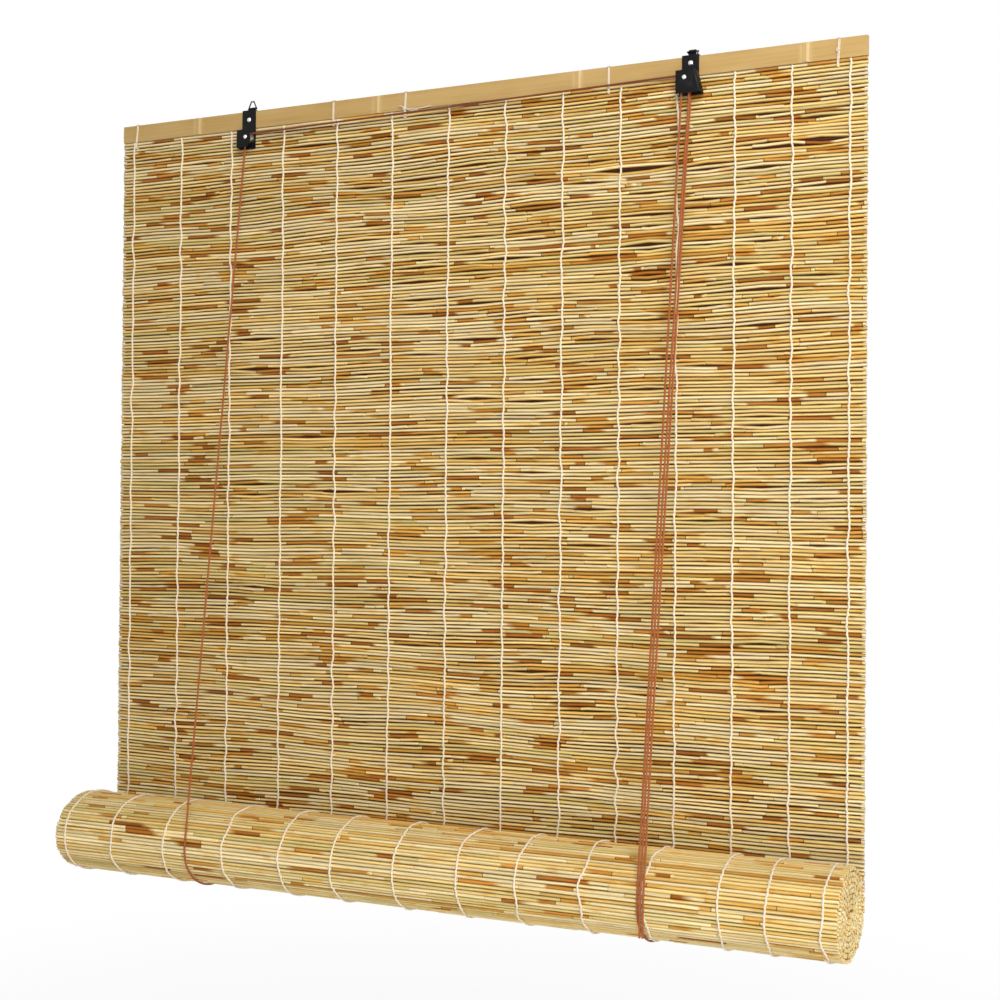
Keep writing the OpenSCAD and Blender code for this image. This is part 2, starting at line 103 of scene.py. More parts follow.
class Graph:
    """A node tree, with short calls that add nodes and join them."""

    def __init__(self, tree: bpy.types.NodeTree) -> None:
        """Takes the tree and empties it."""
        self.tree = tree
        tree.nodes.clear()

    def node(self, kind: str, inputs: dict | None = None, **settings: object) -> bpy.types.Node:
        """Adds a node.

        Args:
            kind: The node's type.
            inputs: Values or sockets for its inputs, by name or number.
            settings: The node's own options.

        Returns:
            The new node.
        """
        made = self.tree.nodes.new(kind)
        for name, value in settings.items():
            setattr(made, name, value)
        for name, value in (inputs or {}).items():
            if isinstance(value, Socket):
                self.tree.links.new(value, made.inputs[name])
            else:
                made.inputs[name].default_value = value
        return made

    def where(self) -> Socket:
        """Object coordinates."""
        return self.node("ShaderNodeTexCoord").outputs["Object"]

    def placed(self, scale: Point) -> Socket:
        """Object coordinates, scaled."""
        return self.node("ShaderNodeMapping", {"Vector": self.where(), "Scale": scale}).outputs[0]

    def noise(self, where: Socket, scale: float, detail: float) -> Socket:
        """Noise of one scale."""
        return self.node("ShaderNodeTexNoise", {"Vector": where, "Scale": scale, "Detail": detail}).outputs[0]

    def span(self, value: Socket, low: float, high: float, to_low: float, to_high: float) -> Socket:
        """Carries a value from one range to another, smoothly and within its ends."""
        return self.node("ShaderNodeMapRange", {0: value, 1: low, 2: high, 3: to_low, 4: to_high},
                         interpolation_type="SMOOTHSTEP").outputs[0]

    def math(self, operation: str, *values: object) -> Socket:
        """A sum on up to three values."""
        return self.node("ShaderNodeMath", dict(enumerate(values)), operation=operation).outputs[0]

    def mix(self, share: object, under: object, over: object, blend: str = "MIX") -> Socket:
        """Mixes two colours."""
        return self.node("ShaderNodeMix", {0: share, 6: under, 7: over}, data_type="RGBA", blend_type=blend).outputs[2]

    def bump(self, height: Socket, strength: float, distance: float) -> Socket:
        """A normal from a height."""
        return self.node("ShaderNodeBump", {"Height": height, "Strength": strength, "Distance": distance}).outputs[0]

    def surface(self, **inputs: object) -> None:
        """Ends a material in a principled shader, whose inputs are named with _ for a space."""
        named = {name.replace("_", " "): value for name, value in inputs.items()}
        shader = self.node("ShaderNodeBsdfPrincipled", named)
        self.node("ShaderNodeOutputMaterial", {"Surface": shader.outputs[0]})


def rgba(colour: Colour) -> tuple[float, float, float, float]:
    """A colour with full cover."""
    return (*colour, 1.0)


@dataclass(frozen=True)
class Finish:
    """A finish: its material's name and the record's slot that it belongs to."""

    name: str
    slot: Slot

    def paint(self, graph: Graph) -> None:
        """Builds the material's nodes."""
        raise NotImplementedError

    def material(self) -> bpy.types.Material:
        """The finish's material, which is made once."""
        found = bpy.data.materials.get(self.name)
        if found is None:
            found = bpy.data.materials.new(self.name)
            found.use_nodes = True
            self.paint(Graph(found.node_tree))
        return found

    def dress(self, piece: Piece) -> None:
        """Puts the finish on a new piece."""
        piece.data.materials.clear()
        piece.data.materials.append(self.material())

    def dress_node(self, node: Piece) -> None:
        """Puts the finish on a node of the frame, by its material slots."""
        for place in node.material_slots:
            place.material = self.material()


@dataclass(frozen=True)
class ReedSkin(Finish):
    """Dry reed: the tone that each reed carries, painted shade included, with fibres, flecks and a waxy skin."""

    name: str = "dry_reed"
    slot: Slot = Slot.REED
    fleck: Colour = (0.92, 0.74, 0.46)

    def paint(self, graph: Graph) -> None:
        """Builds the material's nodes."""
        # The tone carries each reed's colour with painted shade round its sides, in its hollow ends and in the dark
        # strips between rows.
        tone = graph.node("ShaderNodeAttribute", attribute_name="tone").outputs["Color"]
        fibre = graph.noise(graph.placed((14, 900, 900)), 1.0, 4)
        blotch = graph.noise(graph.placed((34, 150, 150)), 1.0, 2)
        fleck = graph.mix(1.0, tone, rgba(self.fleck), "MULTIPLY")
        flecked = graph.mix(graph.span(blotch, 0.56, 0.70, 0.0, 0.75), tone, fleck)
        shade = graph.span(fibre, 0.28, 0.72, 0.80, 1.12)
        graph.surface(
            Base_Color=graph.mix(1.0, flecked, shade, "MULTIPLY"),
            Roughness=graph.span(fibre, 0.3, 0.7, 0.46, 0.66),
            Specular_IOR_Level=0.10,
            Normal=graph.bump(fibre, 0.35, 0.0004))


@dataclass(frozen=True)
class BambooFace(Finish):
    """Split bamboo: fibres along the batten and a paler band at each node."""

    name: str = "split_bamboo"
    slot: Slot = Slot.BAMBOO
    face: Colour = (0.49, 0.315, 0.110)
    vein: Colour = (0.43, 0.255, 0.080)
    band: Colour = (0.60, 0.415, 0.180)
    first_node: float = -0.378
    node_pitch: float = 0.270

    def paint(self, graph: Graph) -> None:
        """Builds the material's nodes."""
        along = graph.node("ShaderNodeSeparateXYZ", {0: graph.where()}).outputs[0]
        fibre = graph.noise(graph.placed((5, 420, 420)), 1.0, 5)
        cloud = graph.noise(graph.placed((9, 40, 40)), 1.0, 2)
        past = graph.math("SUBTRACT", along, self.first_node)
        off = graph.math("ABSOLUTE", graph.math("WRAP", past, self.node_pitch / 2, -self.node_pitch / 2))
        near = graph.span(off, 0.0015, 0.010, 1.0, 0.0)
        rim = graph.span(off, 0.0004, 0.0016, 0.55, 0.0)
        face = graph.mix(graph.span(fibre, 0.38, 0.70, 0.0, 0.6), rgba(self.face), rgba(self.vein))
        clouded = graph.mix(graph.span(cloud, 0.35, 0.7, 0.0, 0.35), face, rgba(self.band))
        banded = graph.mix(near, clouded, rgba(self.band))
        graph.surface(
            Base_Color=graph.mix(rim, banded, rgba(self.vein)),
            Roughness=graph.span(fibre, 0.3, 0.7, 0.40, 0.58),
            Specular_IOR_Level=0.25,
            Normal=graph.bump(fibre, 0.25, 0.0005))


@dataclass(frozen=True)
class SpunYarn(Finish):
    """Twisted yarn: plies that run round it, with painted shade in the grooves, and a soft nap."""

    colour: Colour
    groove_shade: Colour
    plies: int
    lay: float
    sheen: float

    def paint(self, graph: Graph) -> None:
        """Builds the material's nodes."""
        parts = graph.node("ShaderNodeSeparateXYZ", {0: graph.node("ShaderNodeUVMap", uv_map="yarn").outputs[0]})
        turns = graph.math("ADD", graph.math("DIVIDE", parts.outputs[0], self.lay), parts.outputs[1])
        ridge = graph.math("SINE", graph.math("MULTIPLY", turns, FULL_TURN * self.plies))
        nap = graph.noise(graph.placed((1, 1, 1)), 1800.0, 2)
        height = graph.math("MULTIPLY_ADD", nap, 0.5, ridge)
        # Painted shade in the grooves between the plies.
        colour = graph.mix(graph.span(ridge, -1.0, 0.3, 0.75, 0.0), rgba(self.colour), rgba(self.groove_shade))
        graph.surface(
            Base_Color=graph.mix(1.0, colour, graph.span(nap, 0.3, 0.7, 0.86, 1.08), "MULTIPLY"),
            Roughness=graph.span(nap, 0.3, 0.7, 0.75, 0.92),
            Normal=graph.bump(height, 0.5, 0.0003),
            Sheen_Weight=self.sheen)


@dataclass(frozen=True)
class BlackLacquer(Finish):
    """Black stoved paint on pressed steel, with a faint ripple and a little dust."""

    name: str = "black_lacquer"
    slot: Slot = Slot.BLACK_STEEL
    colour: Colour = (0.004, 0.0038, 0.0038)
    dust: Colour = (0.010, 0.009, 0.009)

    def paint(self, graph: Graph) -> None:
        """Builds the material's nodes."""
        ripple = graph.noise(graph.placed((1, 1, 1)), 900.0, 2)
        cloud = graph.noise(graph.placed((1, 1, 1)), 140.0, 3)
        graph.surface(
            Base_Color=graph.mix(graph.span(cloud, 0.5, 0.8, 0.0, 0.6), rgba(self.colour), rgba(self.dust)),
            Roughness=graph.span(cloud, 0.3, 0.7, 0.34, 0.50),
            Specular_IOR_Level=0.14,
            Normal=graph.bump(ripple, 0.12, 0.0002))


@dataclass(frozen=True)
class BrightSteel(Finish):
    """Plated steel with fine turning marks."""

    name: str = "bright_plate"
    slot: Slot = Slot.BRIGHT_STEEL
    colour: Colour = (0.74, 0.74, 0.75)
    tarnish: Colour = (0.50, 0.49, 0.47)

    def paint(self, graph: Graph) -> None:
        """Builds the material's nodes."""
        mark = graph.noise(graph.placed((300, 300, 2600)), 1.0, 2)
        cloud = graph.noise(graph.placed((1, 1, 1)), 350.0, 2)
        graph.surface(
            Base_Color=graph.mix(graph.span(cloud, 0.45, 0.75, 0.0, 0.6), rgba(self.colour), rgba(self.tarnish)),
            Metallic=1.0,
            Roughness=graph.span(mark, 0.3, 0.7, 0.18, 0.36),
            Normal=graph.bump(mark, 0.08, 0.0001))


REED_SKIN = ReedSkin()
BAMBOO_FACE = BambooFace()
# Each yarn's second colour is the painted shade in its grooves.
COTTON_TWINE = SpunYarn("cotton_twine", Slot.TWINE, (0.90, 0.80, 0.62), (0.66, 0.52, 0.34), 2, 0.0042, 0.1)
RUST_CORD = SpunYarn("rust_cord", Slot.CORD, (0.43, 0.115, 0.022), (0.20, 0.040, 0.007), 3, 0.0075, 0.05)
SHADED_CORD = SpunYarn("shaded_cord", Slot.CORD, (0.20, 0.045, 0.011), (0.10, 0.018, 0.004), 3, 0.0075, 0.05)
BLACK_LACQUER = BlackLacquer()
BRIGHT_STEEL = BrightSteel()


# Shapes


def linked(name: str, data: bpy.types.ID) -> Piece:
    """A new object in the scene."""
    made = bpy.data.objects.new(name, data)
    bpy.context.collection.objects.link(made)
    return made


class Loft:
    """Tubes gathered as one mesh, with a tone on each point and a place along the tube on each corner."""

    def __init__(self) -> None:
        """Starts empty."""
        self.points: list[np.ndarray] = []
        self.tones: list[np.ndarray] = []
        self.faces: list[list[int]] = []
        self.corners: list[np.ndarray] = []
        self.count = 0

    def tube(self, rings: np.ndarray, tones: np.ndarray, along: np.ndarray) -> None:
        """Adds one closed tube.

        Args:
            rings: The rings' points, of shape (rings, sides, 3).
            tones: The colours of the same points.
            along: Each ring's distance along the tube.
        """
        count, sides, _ = rings.shape
        ring = np.arange(count - 1)[:, None] * sides
        this = np.arange(sides)[None, :]
        following = (this + 1) % sides
        quads = np.stack([ring + this, ring + following, ring + sides + following, ring + sides + this], -1)
        self.faces += (quads.reshape(-1, 4) + self.count).tolist()
        u0 = np.repeat(along[:-1], sides)
        u1 = np.repeat(along[1:], sides)
        v0 = np.tile(np.arange(sides) / sides, count - 1)
        v1 = v0 + 1 / sides
        self.corners.append(np.stack([u0, v0, u0, v1, u1, v1, u1, v0], -1).reshape(-1, 2))
        last = (count - 1) * sides
        self.faces.append([self.count + k for k in range(sides - 1, -1, -1)])
        self.faces.append([self.count + last + k for k in range(sides)])
        self.corners.append(np.zeros((2 * sides, 2)))
        self.points.append(rings.reshape(-1, 3))
        self.tones.append(np.broadcast_to(tones, rings.shape).reshape(-1, 3))
        self.count += count * sides

    def piece(self, name: str) -> Piece:
        """Makes the gathered tubes one object.

        Args:
            name: The piece's name.

        Returns:
            The new object, at the origin.
        """
        mesh = bpy.data.meshes.new(name)
        mesh.from_pydata(np.concatenate(self.points).tolist(), [], self.faces)
        tones = np.concatenate(self.tones)
        layer = mesh.attributes.new("tone", "FLOAT_COLOR", "POINT")
        layer.data.foreach_set("color", np.column_stack([tones, np.ones(len(tones))]).astype(np.float32).ravel())
        corners = np.concatenate(self.corners).astype(np.float32)
        mesh.uv_layers.new(name="yarn").data.foreach_set("uv", corners.ravel())
        mesh.polygons.foreach_set("use_smooth", np.ones(len(mesh.polygons), dtype=bool))
        mesh.update()
        return linked(name, mesh)


def distances(line: np.ndarray) -> np.ndarray:
    """How far along a line each of its points lies."""
    return np.concatenate([[0], np.cumsum(np.linalg.norm(np.diff(line, axis=0), axis=1))])


def even_steps(line: np.ndarray, step: float) -> np.ndarray:
    """Points at even steps along a broken line."""
    run = distances(line)
    marks = np.linspace(0, run[-1], max(2, round(run[-1] / step) + 1))
    return np.column_stack([np.interp(marks, run, line[:, k]) for k in range(3)])


def resample(path: np.ndarray, step: float) -> np.ndarray:
    """Points at even steps along a smooth curve through the path's points.

    Args:
        path: The points that the curve passes through.
        step: The distance between the new points.

    Returns:
        The new points.
    """
    ends = np.vstack([2 * path[0] - path[1], path, 2 * path[-1] - path[-2]])
    fine = []
    for a, b, c, d in zip(ends, ends[1:], ends[2:], ends[3:]):
        t = np.linspace(0, 1, 24, endpoint=False)[:, None]
        fine.append(0.5 * (2 * b + (c - a) * t + (2 * a - 5 * b + 4 * c - d) * t ** 2
                           + (3 * b - a - 3 * c + d) * t ** 3))
    return even_steps(np.vstack([*fine, path[-1:]]), step)


@dataclass(frozen=True)
class Yarn:
    """A yarn of round section, whose plies stand out as low ridges."""

    radius: float
    sides: int
    plies: int = 0
    lay: float = 0.004
    ridge: float = 0.0

    def spin(self, loft: Loft, path: np.ndarray) -> None:
        """Adds the yarn along a path.

        Args:
            loft: Where the tube goes.
            path: The points of its middle line.
        """
        run = np.gradient(path, axis=0)
        run /= np.linalg.norm(run, axis=1)[:, None]
        side = np.empty_like(run)
        guide = np.eye(3)[np.argmin(np.abs(run[0]))]
        for i, d in enumerate(run):
            guide = guide - d * (guide @ d)
            guide /= np.linalg.norm(guide)
            side[i] = guide
        up = np.cross(run, side)
        along = distances(path)
        turn = np.linspace(0, FULL_TURN, self.sides, endpoint=False)
        laid = self.plies * (turn[None, :] + FULL_TURN * along[:, None] / self.lay)
        radius = self.radius * (1 + self.ridge * (np.sin(laid) - 1))
        rings = path[:, None, :] + radius[:, :, None] * (
            np.cos(turn)[None, :, None] * side[:, None, :] + np.sin(turn)[None, :, None] * up[:, None, :])
        loft.tube(rings, np.ones(3), along)


def overhand(centre: Point, size: float, turn: float) -> np.ndarray:
    """The path of a pulled-tight overhand knot.

    Args:
        centre: The knot's middle.
        size: Its half width.
        turn: How far it is turned about Y, in degrees.

    Returns:
        The path's points.
    """
    open_end = 0.12
    t = np.linspace(open_end, FULL_TURN - open_end, 60)
    knot = np.column_stack([np.sin(t) + 2 * np.sin(2 * t), -np.sin(3 * t), np.cos(t) - 2 * np.cos(2 * t)]) / 3
    a = math.radians(turn)
    spun = knot @ np.array([[math.cos(a), 0, -math.sin(a)], [0, 1, 0], [math.sin(a), 0, math.cos(a)]])
    return np.array(centre) + size * spun


def settle(piece: Piece, finish: Finish, body: Body, *nodes: str) -> None:
    """Dresses a piece, has it ride on its body and stand for its nodes, and reports it.

    Args:
        piece: The new piece.
        finish: Its finish.
        body: What it moves with.
        nodes: The nodes that it stands for.
    """
    finish.dress(piece)
    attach(piece, body.value)
    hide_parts(*nodes)
    LOG.info("%s: %d faces, on %s", piece.name, len(piece.data.polygons), body.value)


# The blind's plan


@dataclass(frozen=True)
class Plan:
    """The measures that the blind's pieces share.

    They are those of the part's source, but for creep, skew and strays: how far the roll's threads
    have slipped to one side, together, in proportion and each by itself.
    """

    width: float = 1.0
    reed_d: float = 0.0045
    reed_y: float = 0.003
    reed_pitch: float = 0.00425
    first_z: float = -0.0244
    turn_pitch: float = 0.0056
    lip: float = 8.0
    spiral_a: float = 0.06115
    spiral_b: float = 0.04675 + 0.0056 * 376 / 720
    roll_y: float = -0.05815
    roll_z: float = -0.928
    core: float = 0.0034
    soft_gap: float = 0.00035
    warps: int = 14
    warp_inset: float = 0.0185
    warp_bow: float = 0.033
    creep: float = 0.003
    skew: float = 0.013
    strays: tuple[float, ...] = (
        0, -0.007, -0.007, 0, 0, -0.009, -0.006, -0.0025, -0.005, 0, 0.002, 0.0155, 0, -0.0065)
    lift: float = 0.8

    @property
    def rows(self) -> int:
        """Number of reed rows in the flat mat."""
        return math.ceil((self.first_z - self.last_z) / self.reed_pitch) + 1

    @property
    def last_z(self) -> float:
        """Height of the flat mat's last row."""
        return self.roll_pt(0)[1] + self.reed_d + self.soft_gap

    def row_z(self, row: float) -> float:
        """Height of a row."""
        return self.first_z - (self.first_z - self.last_z) / (self.rows - 1) * row

    def roll_pt(self, t: float) -> np.ndarray:
        """A point of the roll's spiral, in Y and Z."""
        a = math.radians(t - self.lip)
        wound = self.turn_pitch * t / 360
        y = self.roll_y + (self.spiral_a - wound) * math.cos(a)
        return np.array([y, self.roll_z - (self.spiral_b - wound) * math.sin(a)])

    def roll_run(self, t: float) -> np.ndarray:
        """The spiral's step over one degree."""
        return self.roll_pt(t + 0.5) - self.roll_pt(t - 0.5)

    def roll_normal(self, t: float) -> np.ndarray:
        """The direction out of the roll, in Y and Z."""
        d = self.roll_run(t)
        return np.array([-d[1], d[0]]) / np.linalg.norm(d)

    def roll_out(self, t: float, reach: float) -> np.ndarray:
        """A point that stands off the spiral."""
        return self.roll_pt(t) + reach * self.roll_normal(t)

    def turns(self) -> list[float]:
        """The turns at which the roll's reeds lie, from the outside in."""
        found = []
        t = 0.0
        while t < 360 * (self.spiral_b - self.core) / self.turn_pitch:
            found.append(t)
            half = self.reed_pitch / np.linalg.norm(self.roll_run(t)) / 2
            t += self.reed_pitch / np.linalg.norm(self.roll_run(t + half))
        return found

    def warp_x(self, i: int) -> float:
        """Where a warp thread stands."""
        s = i / (self.warps - 1)
        return (self.width - 2 * self.warp_inset) * (s - 0.5) + self.warp_bow * math.sin(math.pi * s ** 1.3)

    def roll_x(self, i: int) -> float:
        """Where a warp thread stands on the roll, which has crept a little to one side."""
        return self.warp_x(i) * (1 + self.skew) + self.creep + self.strays[i]

    def stations(self, place: Callable[[int], float]) -> list[float]:
        """The warps, by the place of each, and the middles of the bays between them."""
        xs = [place(i) for i in range(self.warps)]
        return sorted(xs + [(a + b) / 2 for a, b in zip(xs, xs[1:])])

    def shorten(self, piece: Piece, low: float) -> None:
        """Gives a piece its own copy of its mesh.

        Args:
            piece: A finished mesh on the head.
            low: Not used.
        """
        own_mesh(piece)


PLAN = Plan()


# Reeds


@dataclass(frozen=True)
class StrawTones:
    """The tones of dry reeds, each with its share, and of the sheaths left on some of them."""

    reeds: tuple[tuple[Colour, float], ...] = (
        ((0.97, 0.79, 0.42), 0.38),
        ((0.95, 0.70, 0.28), 0.33),
        ((0.83, 0.66, 0.25), 0.15),
        ((0.86, 0.55, 0.16), 0.11),
        ((0.68, 0.36, 0.07), 0.04))
    sheaths: tuple[Colour, ...] = (
        (0.76, 0.43, 0.10), (0.68, 0.34, 0.065), (0.58, 0.25, 0.042), (0.42, 0.15, 0.024))
    # The colour underneath, the crevice colour, and the share and line settings below paint shade round each reed's
    # sides: amber underneath, brown where neighbouring reeds meet.
    under: Colour = (0.66, 0.45, 0.19)
    crevice_shade: Colour = (0.075, 0.024, 0.002)
    scar: Colour = (0.16, 0.055, 0.012)
    rim: Colour = (0.97, 0.84, 0.50)
    # Painted shade at the bottom of each hollow cut end.
    bore_shade: Colour = (0.16, 0.07, 0.018)
    spread: Span = (0.88, 1.08)
    under_shade_share: float = 0.9
    line_from: float = 0.50
    line_span: float = 0.45
    line_below: float = 0.96
    line_above: float = 0.84

    def pick(self, rng: random.Random) -> np.ndarray:
        """The tone of one reed."""
        tone = rng.choices([t for t, _ in self.reeds], [w for _, w in self.reeds])[0]
        return np.array(tone) * rng.uniform(*self.spread)

    def around(self, shades: np.ndarray, turn: np.ndarray, depth: float) -> np.ndarray:
        """Paints shade round the reeds' sides: pale in front, a painted amber shade underneath and a painted brown
        shade where they meet.

        Args:
            shades: The colour of each ring.
            turn: The angle of each side, from the front and downwards.
            depth: How strong the painted shade is.

        Returns:
            The colour of each side of each ring.
        """
        down = np.sin(turn)
        under_shade_share = np.clip(down, 0, 1)[None, :, None] * self.under_shade_share * depth
        line = np.clip((np.abs(down) - self.line_from) / self.line_span, 0, 1)
        crevice_shade_share = (line * np.where(down > 0, self.line_below, self.line_above))[None, :, None] * depth
        tinted = shades[:, None, :] * (1 - under_shade_share + under_shade_share * np.array(self.under))
        return tinted * (1 - crevice_shade_share) + np.array(self.crevice_shade) * crevice_shade_share


@dataclass(frozen=True)
class Sheath:
    """A stretch of dry leaf sheath: sharp at the node that it grows from, and fading out at its far end."""

    node: float
    way: int
    body: float
    fade: float
    tone: np.ndarray
    scar: float = 0.0006

    def marks(self) -> list[float]:
        """Where the reed's colour turns."""
        offs = (-self.scar, 0.0, 2 * self.scar, self.body, self.body + self.fade)
        return [self.node + self.way * d for d in offs]

    def tint(self, xs: np.ndarray, shades: np.ndarray, scar: Colour) -> np.ndarray:
        """Lays the sheath's colour and its scar over the reed's own."""
        off = self.way * (xs - self.node)
        cover = np.where(off < 0, 0.0, np.clip((self.body + self.fade - off) / self.fade, 0, 1))[:, None]
        toned = shades * (1 - cover) + self.tone * cover
        return np.where(np.abs(off)[:, None] < self.scar / 2, np.array(scar), toned)


@dataclass
class Row:
    """One row of reeds: where it lies in Y and Z, the way that it faces, and how it strays along X."""

    centre: np.ndarray
    out: np.ndarray
    start: float
    stop: float
    stations: Sequence[float]
    stray: Callable[[np.ndarray], np.ndarray]
    sheath_step: float = 0.20
    loose: float = 0.00036
    # How strong the shade painted round the reeds' sides is.
    depth: float = 1.0


@dataclass
class ReedBed:
    """Lays rows of cut reeds end to end, for the flat mat and the roll alike."""

    rng: random.Random
    tones: StrawTones = field(default_factory=StrawTones)
    radius: float = 0.00217
    sides: int = 8
    tip: float = 0.0012
    tip_taper: float = 0.94
    bore: float = 0.30
    bore_depth: float = 0.0016
    lengths: Peaked = (0.07, 0.60, 0.18)
    least: float = 0.02
    stub: float = 0.05
    joint: float = 0.0006
    girths: Peaked = (0.76, 1.10, 0.98)
    cone: float = 0.09
    mottle: Span = (0.93, 1.07)
    clear: float = 0.004
    sheath_lengths: Peaked = (0.006, 0.070, 0.020)
    sheath_fades: Span = (0.003, 0.016)
    sheath_end: float = 0.008
    sheath_spread: Span = (0.85, 1.2)
    sheath_gaps: Span = (0.3, 1.7)

    def row(self, loft: Loft, row: Row) -> None:
        """Lays one row.

        Args:
            loft: Where the reeds go.
            row: The row's place.
        """
        x = row.start
        while x < row.stop - self.least:
            stop = x + self.rng.triangular(*self.lengths)
            if row.stop - stop < self.stub:
                stop = row.stop
            self.reed(loft, row, x, stop)
            x = stop + self.rng.uniform(0.0, self.joint)

    def sheaths(self, row: Row, x0: float, x1: float) -> list[Sheath]:
        """The stretches of darker sheath on a reed, one after another."""
        rng = self.rng
        found = []
        x = x0 + rng.uniform(self.clear, row.sheath_step) if row.sheath_step else x1
        while x < x1 - self.sheath_end - self.clear:
            body = min(rng.triangular(*self.sheath_lengths), x1 - x - self.sheath_end)
            fade = min(rng.uniform(*self.sheath_fades), x1 - x - body - self.clear)
            tone = np.array(rng.choice(self.tones.sheaths)) * rng.uniform(*self.sheath_spread)
            way = rng.choice((1, -1))
            found.append(Sheath(x if way > 0 else x + body + fade, way, body, fade, tone))
            x += body + fade + rng.uniform(*self.sheath_gaps) * row.sheath_step
        return found

    def shake(self, whole: float, each: float, count: int) -> np.ndarray:
        """How far a reed lies out of line, as a whole and at each ring, in parts of the row's looseness."""
        rng = self.rng
        return rng.uniform(-whole, whole) + np.array([rng.uniform(-each, each) for _ in range(count)])

    def reed(self, loft: Loft, row: Row, x0: float, x1: float) -> None:
        """Lays one reed, with a hollow cut end at each side.

        Args:
            loft: Where the reed goes.
            row: The row that it lies in.
            x0: Where it starts.
            x1: Where it stops.
        """
        rng = self.rng
        sheaths = self.sheaths(row, x0, x1)
        marks = [x0, x0 + self.tip, x1 - self.tip, x1]
        marks += [x for x in row.stations if x0 + self.clear < x < x1 - self.clear]
        marks += [x for sheath in sheaths for x in sheath.marks() if x0 + self.tip < x < x1 - self.tip]
        xs = np.array(sorted(marks))
        count = len(xs)
        tone = self.tones.pick(rng)
        shades = tone[None, :] * np.array([rng.uniform(*self.mottle) for _ in xs])[:, None]
        for sheath in sheaths:
            shades = sheath.tint(xs, shades, self.tones.scar)
        girth = self.radius * rng.triangular(*self.girths)
        radii = girth * (1 + rng.uniform(-self.cone, self.cone) * np.linspace(-1, 1, count))
        radii[[0, -1]] *= self.tip_taper
        aside = row.stray(xs) + self.shake(0.5, 1.0, count) * row.loose
        raised = self.shake(1.0, 0.6, count) * row.loose
        ring_x = np.concatenate([[x0 + self.bore_depth, x0], xs, [x1, x1 - self.bore_depth]])
        pad = np.array([0, 0, *range(count), count - 1, count - 1])
        ring_r = radii[pad]
        ring_r[[0, 1, -2, -1]] *= self.bore
        lateral = np.array([-row.out[1], row.out[0]])
        middle = row.centre + raised[pad, None] * row.out + aside[pad, None] * lateral
        turn = np.linspace(0, FULL_TURN, self.sides, endpoint=False)
        around = np.cos(turn)[:, None] * row.out + np.sin(turn)[:, None] * lateral
        flat = middle[:, None, :] + ring_r[:, None, None] * around[None, :, :]
        rings = np.concatenate([np.broadcast_to(ring_x[:, None, None], (*flat.shape[:2], 1)), flat], -1)
        # Paints shade round the reed's sides.
        tones = self.tones.around(shades[pad], turn, row.depth)
        tones[[1, -2]] = self.tones.rim
        # Painted shade at the bottom of each hollow cut end.
        tones[[0, -1]] = self.tones.bore_shade
        loft.tube(rings, tones, ring_x - x0)


@dataclass(frozen=True)
class Wave:
    """One slow wave in the rows of the mat."""

    height: float
    along: float
    down: float
    phase: float


